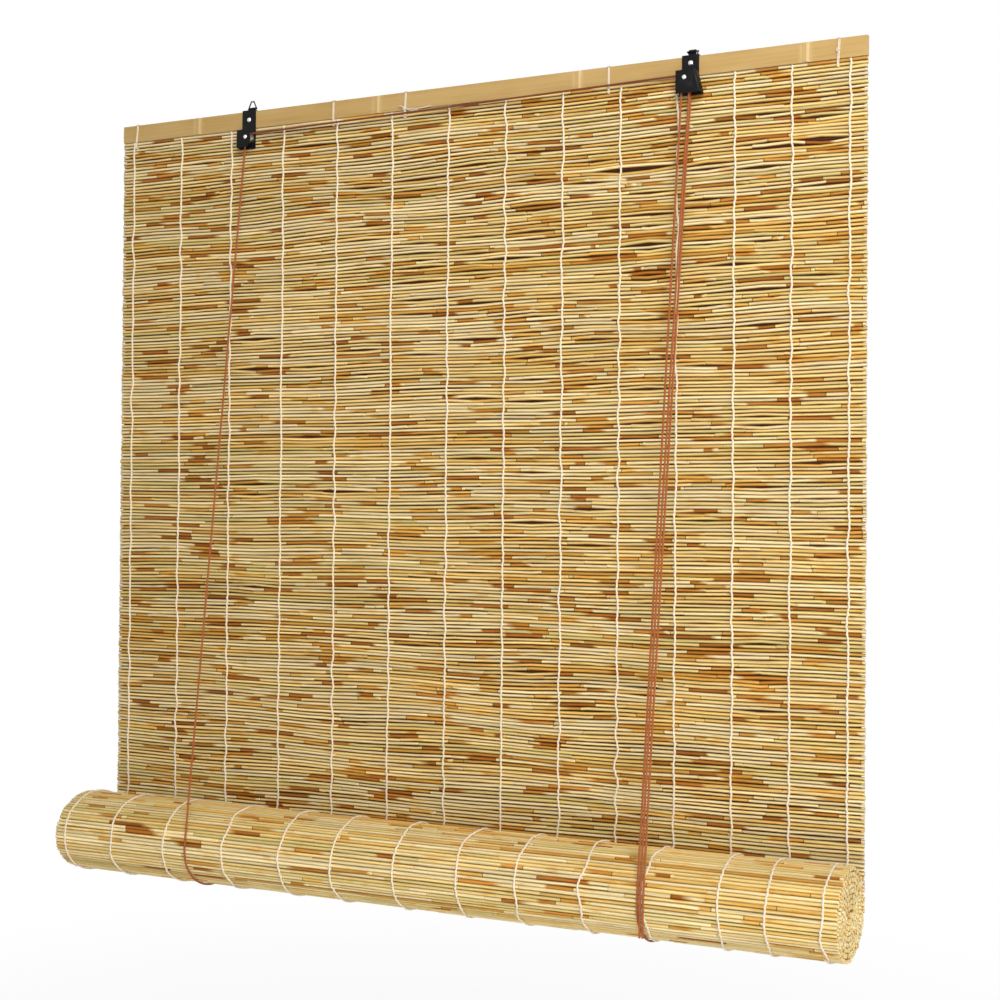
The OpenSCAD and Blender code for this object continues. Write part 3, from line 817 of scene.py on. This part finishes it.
@dataclass
class ReedMat:
    """The flat part of the mat, from the batten down to the roll."""

    seed: int = 17
    gaps: int = 150
    wide_gaps: tuple[tuple[float, float, float, float], ...] = (
        (0.228, -0.122, 0.058, 0.0056), (0.409, -0.1105, 0.052, 0.0030), (0.352, -0.239, 0.045, 0.0028),
        (0.063, -0.215, 0.050, 0.0026), (-0.156, -0.4905, 0.048, 0.0028))
    gap_halves: Span = (0.026, 0.042)
    gap_heights: Span = (0.0008, 0.0022)
    give: tuple[float, ...] = (0.5, 0.3, 0.16, 0.08)
    still_top: float = 0.06
    still_low: float = 0.05
    ragged: Span = (-0.0004, 0.0008)
    wave_spans: tuple[Span, ...] = ((0.00035, 0.0007), (7, 24), (14, 46), PHASES)
    # The dark strips of painted shade in the necks between rows: how far they reach, their size and their colour.
    shade_strip_end: float = 0.496
    shade_strip: Span = (0.0003, 0.0022)
    neck_shade: Colour = (0.050, 0.014, 0.003)
    halves: tuple[str, ...] = ("upper", "lower")
    waves: list[Wave] = field(default_factory=list)
    bows: dict[int, list[tuple[float, float, float]]] = field(default_factory=dict)

    def __post_init__(self) -> None:
        """Settles the rows' waves and where neighbouring reeds bow apart."""
        rng = random.Random(self.seed)
        self.waves = [Wave(*(rng.uniform(*span) for span in self.wave_spans)) for _ in range(5)]
        xs = [PLAN.warp_x(i) for i in range(PLAN.warps)]
        for _ in range(self.gaps):
            bay = int(rng.triangular(0, PLAN.warps - 1.01, PLAN.warps - 2))
            neck = int(rng.triangular(4, PLAN.rows - 6, 16))
            half, height = rng.uniform(*self.gap_halves), rng.uniform(*self.gap_heights)
            self.part(neck, (xs[bay] + xs[bay + 1]) / 2, half, height)
        pitch = PLAN.row_z(0) - PLAN.row_z(1)
        for x, z, half, height in self.wide_gaps:
            self.part(round((PLAN.first_z - z) / pitch - 0.5), x, half, height)

    def part(self, neck: int, x: float, half: float, height: float) -> None:
        """Bows the reeds on both sides of a neck apart, and the next ones with them, ever less."""
        for step, share in enumerate(self.give):
            self.bows.setdefault(neck - step, []).append((x, half, -share * height))
            self.bows.setdefault(neck + 1 + step, []).append((x, half, share * height))

    def sway(self, xs: np.ndarray, z: float) -> np.ndarray:
        """The slow waves of a row, which die out at the batten and the roll."""
        ends = min(1.0, (PLAN.first_z - z) / self.still_top, (z - PLAN.last_z) / self.still_low)
        return max(0.0, ends) * sum(w.height * np.sin(w.along * xs + w.down * z + w.phase) for w in self.waves)

    def stray(self, row: int) -> Callable[[np.ndarray], np.ndarray]:
        """How far a row's reeds stray downwards, as a function of X."""
        z = PLAN.row_z(row)

        def aside(xs: np.ndarray) -> np.ndarray:
            total = self.sway(xs, z)
            for x, half, height in self.bows.get(row, []):
                total = total + height * np.cos(np.clip((xs - x) / half, -1, 1) * math.pi / 2) ** 2
            return total

        return aside

    def crest(self, row: float, x: float) -> float:
        """The height of a row where a warp crosses it."""
        z = PLAN.row_z(row)
        return z - float(self.sway(np.array([x]), z)[0])

    def lay_shade_strip(self, loft: Loft, neck: int) -> None:
        """Adds the dark strip of painted shade that fills the neck between two rows."""
        thick, high = self.shade_strip
        xs = np.linspace(-self.shade_strip_end, self.shade_strip_end, 15)
        z = PLAN.row_z(neck + 0.5) - self.sway(xs, PLAN.row_z(neck + 0.5))
        corners = np.array([(thick, -high), (thick, high), (-thick, high), (-thick, -high)])
        rings = np.empty((len(xs), 4, 3))
        rings[:, :, 0] = xs[:, None]
        rings[:, :, 1] = PLAN.reed_y + corners[:, 0]
        rings[:, :, 2] = z[:, None] + corners[:, 1]
        loft.tube(rings, np.array(self.neck_shade), xs)

    def build(self) -> None:
        """Lays the reeds and the dark strips of painted shade between them."""
        rng = random.Random(self.seed + 1)
        bed = ReedBed(rng)
        half = PLAN.width / 2
        stations = PLAN.stations(PLAN.warp_x)
        for name, rows in zip(self.halves, np.array_split(range(PLAN.rows), len(self.halves))):
            loft = Loft()
            for row in map(int, rows):
                centre = np.array([PLAN.reed_y, PLAN.row_z(row)])
                left, right = (rng.uniform(*self.ragged) for _ in range(2))
                bed.row(loft, Row(centre, np.array([-1.0, 0.0]), left - half, half - right, stations,
                                  self.stray(row)))
                if row < PLAN.rows - 1:
                    self.lay_shade_strip(loft, row)
            piece = loft.piece(f"reed_mat_{name}")
            settle(piece, REED_SKIN, Body.HEAD, "reed_sheet")
            PLAN.shorten(piece, PLAN.last_z)


@dataclass
class ReedRoll:
    """The wound part of the mat: cut reeds on the outer turn, plain ones inside."""

    seed: int = 29
    outer_turn: float = 384.0
    inner_radius: float = 0.0026
    inner_bore: float = 0.24
    sway: float = 0.0002
    sway_rate: float = 11.0
    loose: float = 0.0002
    # How strong the shade painted round the roll's reeds is.
    depth: float = 0.44
    sheath_step: float = 0.42
    ragged: float = 0.0009

    def build(self) -> None:
        """Lays the reeds of the spiral, from the outside in."""
        rng = random.Random(self.seed)
        bed = ReedBed(rng)
        packed = ReedBed(rng, radius=self.inner_radius, bore=self.inner_bore)
        loft = Loft()
        half = PLAN.width / 2
        stations = PLAN.stations(PLAN.roll_x)
        for t in PLAN.turns():
            phase = rng.uniform(*PHASES)
            outer = t < self.outer_turn
            left, right = (rng.uniform(-self.ragged, self.ragged) for _ in range(2))
            row = Row(PLAN.roll_pt(t), PLAN.roll_normal(t), left - half, half - right, stations if outer else (),
                      lambda xs, p=phase: self.sway * np.sin(self.sway_rate * xs + p),
                      self.sheath_step if outer else 0.0, self.loose, self.depth)
            if outer:
                bed.row(loft, row)
            else:
                packed.reed(loft, row, row.start, row.stop)
        settle(loft.piece("reed_roll_turns"), REED_SKIN, Body.ROLL, "reed_roll")


# Threads


@dataclass
class WarpThreads:
    """The pairs of cotton threads that hold the rows, on the flat mat and on the roll."""

    seed: int = 41
    yarn: Yarn = Yarn(0.00124, 7)
    stand: float = 0.0008
    dip: float = 0.0004
    zigzag: float = 0.00035
    shares: tuple[float, ...] = (-0.25, 0.0, 0.25, 0.5)
    roll_shares: tuple[float, ...] = (0.0, 0.25, 0.5, 0.75)
    wave_spans: tuple[Span, ...] = ((0.0002, 0.0006), (18, 190), PHASES)
    roll_wander: float = 1.4
    first_turn: float = 9.0
    last_turn: float = 349.0

    def wander(self, rng: random.Random) -> Callable[[float], float]:
        """A thread's own slow sideways wave."""
        waves = [[rng.uniform(*span) for span in self.wave_spans] for _ in range(5)]
        return lambda s: sum(h * math.sin(k * s + p) for h, k, p in waves)

    def reach(self, share: float) -> float:
        """How far a thread stands off the middle of the reeds, which dips between two of them."""
        return PLAN.reed_d / 2 + self.stand - self.dip * math.sin(math.pi * share) ** 2

    def jog(self, row: int, share: float) -> float:
        """The thread's small jog to one side and back as it passes from reed to reed."""
        return self.zigzag * (1 if row % 2 else -1) * math.cos(math.pi * share)

    def sheet_thread(self, mat: ReedMat, i: int, wave: Callable[[float], float]) -> Piece:
        """Runs a pair of threads down the flat mat, one on each face.

        Args:
            mat: The flat mat.
            i: The thread's number.
            wave: The thread's sideways wave.

        Returns:
            The pair, as one piece.
        """
        loft = Loft()
        for face in (1, -1):
            path = []
            for row in range(PLAN.rows):
                for share in self.shares:
                    z = mat.crest(min(row + share, PLAN.rows - 1), PLAN.warp_x(i))
                    x = PLAN.warp_x(i) + wave(z) + face * self.jog(row, share)
                    path.append((x, PLAN.reed_y - face * self.reach(share), z))
            self.yarn.spin(loft, np.array(path[:-1]))
        return loft.piece(f"sheet_thread_{i + 1:02d}")

    def roll_thread(self, turns: Sequence[float], i: int, wave: Callable[[float], float]) -> Piece:
        """Runs one thread over the reeds of the roll's outer turn.

        Args:
            turns: Where the reeds lie.
            i: The thread's number.
            wave: The thread's sideways wave.

        Returns:
            The thread.
        """
        loft = Loft()
        path = []
        for k, (t, following) in enumerate(zip(turns, turns[1:])):
            for share in self.roll_shares:
                y, z = PLAN.roll_out(t + share * (following - t), self.reach(share))
                strayed = self.roll_wander * wave(PLAN.reed_pitch * (k + share))
                x = PLAN.roll_x(i) + strayed + self.jog(k, share)
                path.append((x, y, z))
        self.yarn.spin(loft, np.array(path))
        return loft.piece(f"roll_thread_{i + 1:02d}")

    def build(self, mat: ReedMat) -> None:
        """Runs all the threads."""
        rng = random.Random(self.seed)
        turns = [t for t in PLAN.turns() if self.first_turn < t < self.last_turn]
        for i in range(PLAN.warps):
            piece = self.sheet_thread(mat, i, self.wander(rng))
            settle(piece, COTTON_TWINE, Body.HEAD, f"sheet_warp_{i + 1:02d}")
            PLAN.shorten(piece, PLAN.last_z)
            piece = self.roll_thread(turns, i, self.wander(rng))
            settle(piece, COTTON_TWINE, Body.ROLL, f"roll_warp_{i + 1:02d}")


class TieEnd(Enum):
    """How a tie is finished on the batten's face."""

    PLAIN = "plain"
    KNOT = "knot"
    KNOT_AND_TAIL = "knot_and_tail"


@dataclass
class BattenTies:
    """The twine loops that hold the mat to the batten."""

    places: tuple[tuple[float, float, TieEnd], ...] = (
        (-0.4776, 0.0022, TieEnd.PLAIN), (-0.1708, -0.0006, TieEnd.PLAIN),
        (-0.0678, 0.0006, TieEnd.KNOT_AND_TAIL), (0.2006, -0.0008, TieEnd.PLAIN), (0.4680, 0.0008, TieEnd.KNOT))
    yarn: Yarn = Yarn(0.0007, 8, 2, 0.004, 0.10)
    front: float = -0.00085
    back: float = 0.00685
    top: float = 0.00085
    bend: float = 0.0016
    end_aside: float = 0.0008
    end_drop: float = 0.0005
    turns: Span = (-0.0004, 0.0010)
    knot_size: float = 0.0021
    knot_stand: float = 0.0006
    mid_knot: float = -0.0125
    low_knot: float = -0.0196
    tails: tuple[tuple[Point, ...], ...] = (
        ((0.001, -0.0008, -0.0005), (0.010, -0.0016, -0.0024), (0.022, -0.0014, -0.0028),
         (0.036, -0.0004, -0.0012)),
        ((0.001, -0.0005, -0.0012), (0.009, -0.0012, -0.0040), (0.019, -0.0012, -0.0044)),
        ((-0.001, -0.0008, 0.0003), (-0.004, -0.0016, 0.0022), (-0.0078, -0.0010, 0.0028)))

    def loop(self, x: float, slant: float, low: float) -> np.ndarray:
        """A closed-looking turn of twine round the batten and the top two rows.

        Args:
            x: Where the tie stands.
            slant: How far its front leans to one side.
            low: Its lowest height.

        Returns:
            The turn's points.
        """
        r = self.bend
        corners = [(self.front + r, self.top - r, 180, 90), (self.back - r, self.top - r, 90, 0),
                   (self.back - r, low + r, 0, -90), (self.front + r, low + r, -90, -180)]
        path = []
        for cy, cz, a0, a1 in corners:
            for a in np.linspace(math.radians(a0), math.radians(a1), 5):
                path.append((x, cy + r * math.cos(a), cz + r * math.sin(a)))
        path.append((x, self.front, self.top - r - self.end_drop))
        points = np.array(path)
        share = (points[:, 2] - low) / (self.top - low)
        points[:, 0] += slant * (share - 0.5) * np.where(points[:, 1] < PLAN.reed_y, 1, -1)
        points[-1, 0] += self.end_aside
        return points

    def build(self) -> None:
        """Ties the loops, with their knots and tails."""
        low = PLAN.row_z(1.5)
        for i, (x, slant, end) in enumerate(self.places):
            loft = Loft()
            for shift in self.turns:
                self.yarn.spin(loft, resample(self.loop(x + shift, slant, low), 0.0007))
            if end is not TieEnd.PLAIN:
                knot_z = self.low_knot if end is TieEnd.KNOT_AND_TAIL else self.mid_knot
                knot = overhand((x, self.front - self.knot_stand, knot_z), self.knot_size, 25)
                self.yarn.spin(loft, resample(knot, 0.0006))
            if end is TieEnd.KNOT_AND_TAIL:
                for tail in self.tails:
                    path = np.array(tail) + (x, self.front, self.low_knot)
                    self.yarn.spin(loft, resample(path, 0.0008))
            settle(loft.piece(f"twine_tie_{i + 1}"), COTTON_TWINE, Body.HEAD, f"batten_tie_{i + 1}")


# Cords


@dataclass(frozen=True)
class LiftSide:
    """Where one of the two lift cords runs: over its pulley, out of its bracket, to its sling and its knot."""

    name: str
    pulley_x: float
    axle_z: float
    cord_y: float
    low_z: float
    sling_x: float
    knot_x: float


@dataclass
class LiftCords:
    """The cords that carry the roll, and the two pull cords that hang from the cord lock.

    A row of pulls is a height and, at that height, X and Y of the left and the right pull cord.
    """

    radius: float = 0.0013
    left: LiftSide = LiftSide("left", -0.2945, -0.0355, -0.0068, -0.0485, -0.298, -0.298)
    right: LiftSide = LiftSide("right", 0.297, -0.026, -0.0090, -0.044, 0.288, 0.29583)
    path_r: float = 0.0045
    head_y: float = -0.0046
    meets: tuple[int, int] = (178, 211)
    knot_y: float = 0.01126
    knot_z: float = -0.014
    knot_reach: float = 0.0029
    knot_size: float = 0.0018
    knot_yarn: float = 0.0011
    tiny: float = 0.00015
    step: float = 0.0014
    pulls: tuple[tuple[float, ...], ...] = (
        (-0.0442, 0.3015, -0.0046, 0.3015, -0.009), (-0.052, 0.3015, -0.0048, 0.3015, -0.0092),
        (-0.066, 0.3013, -0.0062, 0.3012, -0.0105), (-0.09, 0.301, -0.01, 0.3006, -0.014),
        (-0.12, 0.3007, -0.014, 0.2999, -0.018), (-0.17, 0.3002, -0.0205, 0.299, -0.0245),
        (-0.22, 0.2998, -0.027, 0.2982, -0.0305), (-0.29, 0.2992, -0.0365, 0.2972, -0.0395),
        (-0.36, 0.2986, -0.046, 0.2962, -0.0485), (-0.43, 0.298, -0.0555, 0.2953, -0.0575),
        (-0.5, 0.2974, -0.065, 0.2944, -0.0665), (-0.57, 0.2968, -0.0745, 0.2936, -0.0755),
        (-0.64, 0.2963, -0.0835, 0.2929, -0.0845), (-0.71, 0.2958, -0.0925, 0.2923, -0.093),
        (-0.775, 0.2954, -0.101, 0.2919, -0.1015), (-0.83, 0.2951, -0.108, 0.2916, -0.1083),
        (-0.875, 0.2949, -0.1135, 0.2914, -0.1136), (-0.905, 0.2948, -0.1174, 0.2913, -0.1175),
        (-0.92, 0.2948, -0.1196, 0.2913, -0.1197), (-0.932, 0.2948, -0.1203, 0.2913, -0.1204),
        (-0.945, 0.2948, -0.1204, 0.2913, -0.1205), (-0.964, 0.2948, -0.1204, 0.2913, -0.1205))

    def yarn(self, radius: float) -> Yarn:
        """The cord itself: three plies, laid to the right."""
        return Yarn(radius, 9, 3, 0.0075, 0.09)

    def on_roll(self, x: float, t: float) -> np.ndarray:
        """A point of a cord that lies on the roll."""
        y, z = PLAN.roll_out(t, PLAN.reed_d / 2 + PLAN.soft_gap + self.radius)
        return np.array([x, y, z])

    def meet(self, y: float, z: float) -> float:
        """The turn at which a taut cord from a point in Y and Z first meets the roll."""

        def lean(t: float) -> float:
            p = self.on_roll(0, t)
            return math.atan2(y - p[1], z - p[2])

        return max(range(*self.meets), key=lean)

    def arc(self, x: float, y: float, z: float, a0: float, a1: float) -> list[Point]:
        """The cord's path over a pulley."""
        r = self.path_r
        return [(x + r * math.cos(a), y, z + r * math.sin(a)) for a in np.radians(np.linspace(a0, a1, 9))]

    def lay(self, name: str, path: Iterable[Sequence[float]]) -> Piece:
        """Makes one cord along straight stretches and tight arcs."""
        points = np.array([tuple(p) for p in path], dtype=float)
        loft = Loft()
        self.yarn(self.radius).spin(loft, even_steps(points, self.step))
        return loft.piece(name)

    def build_held(self) -> None:
        """Makes the cords held at both ends: down the front, along the head, under the roll and up the back."""
        left, right = self.left, self.right
        sides = [(side, self.meet(side.cord_y, side.low_z)) for side in (left, right)]
        for side, meet in sides:
            end = self.on_roll(side.sling_x, meet)
            edge, y = side.pulley_x - self.path_r, side.cord_y
            front = self.lay(f"{side.name}_lift_cord", [(edge, y, side.axle_z), (edge, y, side.low_z), end])
            settle(front, RUST_CORD, Body.HEAD, f"{side.name}_front_cord")
            PLAN.shorten(front, end[2])
        out_x = right.pulley_x + self.path_r
        over = self.arc(right.pulley_x, right.cord_y, right.axle_z, 180, 0)
        bend = self.lay("lock_bend_cord", [*over, (out_x, right.cord_y, right.low_z)])
        settle(bend, RUST_CORD, Body.HEAD, "right_front_cord")
        rise = self.arc(left.pulley_x, left.cord_y, left.axle_z, 180, 90)
        fall = self.arc(right.pulley_x, self.head_y, right.axle_z, 90, 0)
        along = self.lay("head_run_cord", [*rise, *fall, (out_x, self.head_y, right.low_z)])
        settle(along, SHADED_CORD, Body.HEAD, "head_cord")
        for side, meet in sides:
            x, knot_x = side.sling_x, side.knot_x
            sling = [self.on_roll(x, t) for t in np.linspace(PLAN.lip, meet, 60)]
            under = self.lay(f"{side.name}_under_cord", sling)
            settle(under, RUST_CORD, Body.SLINGS, f"{side.name}_sling")
            low = self.on_roll(x, PLAN.lip)
            high = (knot_x, self.knot_y, self.knot_z - self.knot_reach)
            back = self.lay(f"{side.name}_rear_cord", [(low[0], low[1], low[2] + self.tiny), high])
            settle(back, RUST_CORD, Body.HEAD, f"{side.name}_back_cord")
            PLAN.shorten(back, low[2])
            loft = Loft()
            knot = overhand((knot_x, self.knot_y, self.knot_z), self.knot_size, 30)
            self.yarn(self.knot_yarn).spin(loft, resample(knot, 0.0005))
            settle(loft.piece(f"{side.name}_stop_knot"), RUST_CORD, Body.HEAD, f"{side.name}_knot")

    def build_pulls(self) -> None:
        """Makes the two pull cords, which hang free and end bare at the roll's lower edge."""
        for side, columns in (("left", (1, 2, 0)), ("right", (3, 4, 0))):
            route = [tuple(row[k] for k in columns) for row in self.pulls]
            path = resample(np.array(route), self.step)
            loft = Loft()
            self.yarn(self.radius).spin(loft, path)
            piece = loft.piece(f"{side}_hanging_cord")
            settle(piece, RUST_CORD, Body.HEAD, f"{side}_pull_cord")
            PLAN.shorten(piece, PLAN.roll_z)


# Head


@dataclass
class HeadHardware:
    """The batten, the two brackets and what turns and swings in them."""

    round_over: float = 0.00028
    weld: float = 0.000002
    flat_angle: float = math.radians(1)
    edge_angle: float = math.radians(40)
    smooth_angle: float = math.radians(35)
    pressed: tuple[str, ...] = ("left_bracket", "lock_bracket")
    black: tuple[str, ...] = ("left_ring", "right_ring", "lock_cam", "lock_cam_pin")
    bright: tuple[str, ...] = ("left_rivet", "left_pulley", "left_axle", "lock_rivet", "lock_pulley", "lock_axle")

    def soften(self, node: Piece, name: str) -> Piece:
        """Copies a pressed-steel node and rounds its edges over.

        Args:
            node: The node of the frame.
            name: The new piece's name.

        Returns:
            The new piece.
        """
        bpy.ops.object.select_all(action="DESELECT")
        piece = node.copy()
        piece.data = node.data.copy()
        piece.name = name
        bpy.context.collection.objects.link(piece)
        piece.select_set(True)
        bpy.context.view_layer.objects.active = piece
        bpy.ops.object.mode_set(mode="EDIT")
        bpy.ops.mesh.select_all(action="SELECT")
        bpy.ops.mesh.remove_doubles(threshold=self.weld)
        bpy.ops.mesh.dissolve_limited(angle_limit=self.flat_angle)
        bpy.ops.object.mode_set(mode="OBJECT")
        bevel = piece.modifiers.new("round_over", "BEVEL")
        bevel.width = self.round_over
        bevel.segments = 2
        bevel.limit_method = "ANGLE"
        bevel.angle_limit = self.edge_angle
        bpy.ops.object.modifier_apply(modifier=bevel.name)
        bpy.ops.object.shade_smooth_by_angle(angle=self.smooth_angle)
        return piece

    def build(self, nodes: dict[str, Piece]) -> None:
        """Dresses the batten and the hardware.

        Args:
            nodes: The frame's nodes by name.
        """
        BAMBOO_FACE.dress_node(nodes["head_batten"])
        for name in self.black:
            BLACK_LACQUER.dress_node(nodes[name])
        for name in self.bright:
            BRIGHT_STEEL.dress_node(nodes[name])
        for name in self.pressed:
            settle(self.soften(nodes[name], f"{name}_pressing"), BLACK_LACQUER, Body.HEAD, name)


# Stage


@dataclass
class Studio:
    """The camera at the photograph's place, soft light, a pale floor and a white backdrop."""

    eye: Point = (0.89568, -1.71663, -0.52629)
    yaw: float = 0.4503
    pitch: float = 0.0136
    roll: float = 0.0078
    lens: float = 57.854
    sensor: float = 36.0
    aim: Point = (0, -0.03, -0.5)
    floor_z: float = -1.35
    floor_size: float = 24.0
    ambient: float = 0.18
    lamps: tuple[tuple[str, Point, float, float], ...] = (
        ("key", (1.3, -2.0, 0.9), 1.2, 61.0), ("fill", (0.5, -1.5, -1.2), 1.2, 9.0),
        ("side", (2.2, -0.5, -0.8), 1.0, 12.0), ("back", (0.3, 1.9, 0.6), 1.6, 19.0))

    def camera(self) -> None:
        """Sets the camera up."""
        level = Vector((math.cos(self.yaw), math.sin(self.yaw), 0))
        ahead = Vector((-math.sin(self.yaw), math.cos(self.yaw), 0))
        forward = math.cos(self.pitch) * ahead + Vector((0, 0, math.sin(self.pitch)))
        rise = level.cross(forward)
        c, s = math.cos(self.roll), math.sin(self.roll)
        right = c * level + s * rise
        up = -s * level + c * rise
        data = bpy.data.cameras.new("camera")
        data.sensor_width = self.sensor
        data.lens = self.lens
        camera = linked("camera", data)
        camera.matrix_world = Matrix.Translation(self.eye) @ Matrix((right, up, -forward)).transposed().to_4x4()
        bpy.context.scene.camera = camera

    def lights(self) -> None:
        """Sets the soft lamps up, each turned to the blind's middle."""
        for name, place, size, power in self.lamps:
            data = bpy.data.lights.new(name, "AREA")
            data.size = size
            data.energy = power
            lamp = linked(name, data)
            lamp.location = place
            lamp.rotation_euler = (Vector(self.aim) - Vector(place)).to_track_quat("-Z", "Y").to_euler()

    def seen(self, graph: Graph) -> Socket:
        """One for what the camera sees, also by mirroring, and zero for light that falls on the blind."""
        path = graph.node("ShaderNodeLightPath")
        shiny = graph.math("MAXIMUM", path.outputs["Is Glossy Ray"], path.outputs["Is Transmission Ray"])
        return graph.math("MAXIMUM", path.outputs["Is Camera Ray"], shiny)

    def backdrop(self) -> None:
        """Makes the world white to look at and soft as a light."""
        world = bpy.data.worlds.new("studio")
        world.use_nodes = True
        graph = Graph(world.node_tree)
        soft = graph.node("ShaderNodeBackground", {"Color": WHITE, "Strength": self.ambient})
        white = graph.node("ShaderNodeBackground", {"Color": WHITE, "Strength": 1.0})
        both = graph.node("ShaderNodeMixShader", {0: self.seen(graph), 1: soft.outputs[0], 2: white.outputs[0]})
        graph.node("ShaderNodeOutputWorld", {"Surface": both.outputs[0]})
        bpy.context.scene.world = world

    def floor(self) -> None:
        """Lays the pale floor, which keeps a soft shadow under the blind and runs out into white."""
        bpy.ops.object.select_all(action="DESELECT")
        bpy.ops.mesh.primitive_plane_add(size=self.floor_size, location=(0, 0, self.floor_z))
        floor = bpy.context.object
        floor.name = "floor"
        paint = bpy.data.materials.new("pale_floor")
        paint.use_nodes = True
        graph = Graph(paint.node_tree)
        away = graph.node("ShaderNodeVectorMath", {0: graph.where()}, operation="LENGTH").outputs["Value"]
        share = graph.math("MULTIPLY", self.seen(graph), graph.span(away, 0.5, 1.8, 0.90, 1.0))
        matt = graph.node("ShaderNodeBsdfDiffuse", {"Color": (0.85, 0.85, 0.85, 1)})
        white = graph.node("ShaderNodeEmission", {"Color": WHITE, "Strength": 1.0})
        both = graph.node("ShaderNodeMixShader", {0: share, 1: matt.outputs[0], 2: white.outputs[0]})
        graph.node("ShaderNodeOutputMaterial", {"Surface": both.outputs[0]})
        floor.data.materials.append(paint)

    def build(self) -> None:
        """Sets the whole stage up."""
        bpy.context.scene.view_settings.view_transform = "Standard"
        self.camera()
        self.lights()
        self.backdrop()
        self.floor()


def main() -> None:
    """Builds the stage and the blind's pieces in order."""
    logging.basicConfig(level=logging.INFO, format="%(name)s: %(message)s")
    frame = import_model()
    Studio().build()
    cords = LiftCords()
    cords.build_pulls()
    cords.build_held()
    mat = ReedMat()
    mat.build()
    ReedRoll().build()
    WarpThreads().build(mat)
    BattenTies().build()
    HeadHardware().build(frame["nodes"])
    bpy.context.view_layer.update()


if __name__ == "__main__":
    main()
